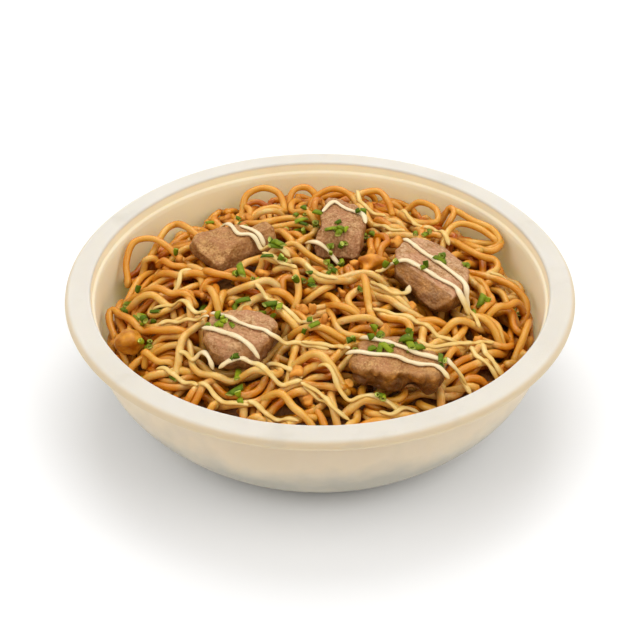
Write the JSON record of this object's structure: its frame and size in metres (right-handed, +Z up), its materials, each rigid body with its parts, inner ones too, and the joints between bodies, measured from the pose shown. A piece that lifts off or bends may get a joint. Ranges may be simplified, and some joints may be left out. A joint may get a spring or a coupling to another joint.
{
  "type": "yakisoba in a moulded pulp bowl",
  "caption": "Round shallow bowl with a turned-down lip, heaped with fried noodles, torn pork, cut chives and lines of mayonnaise.",
  "frame": {"origin": "middle of the bowl's foot, on the table", "axes": "+Z up, -Y towards the front of the dish, +X to the right"},
  "size_m": [0.22, 0.22, 0.0631],
  "materials": {
    "pulp": "matt moulded plant fibre, cream to tan",
    "noodle": "fried wheat noodle, orange gold with a thin oily sauce",
    "pork": "fibrous fried pork, pinkish brown with a glossy browned side",
    "carrot": "cooked carrot, orange with browned edges",
    "onion": "fried onion, translucent orange brown",
    "mayonnaise": "pale cream, soft gloss",
    "chive": "fresh green, satin"
  },
  "bodies": {
    "root": {"bowl": "pulp", "noodles": "noodle", "pork_back_left": "pork", "pork_back": "pork", "pork_back_right": "pork", "pork_front_left": "pork", "pork_front_right": "pork", "carrot": "carrot", "onion": "onion"}
  },
  "joints": []
}
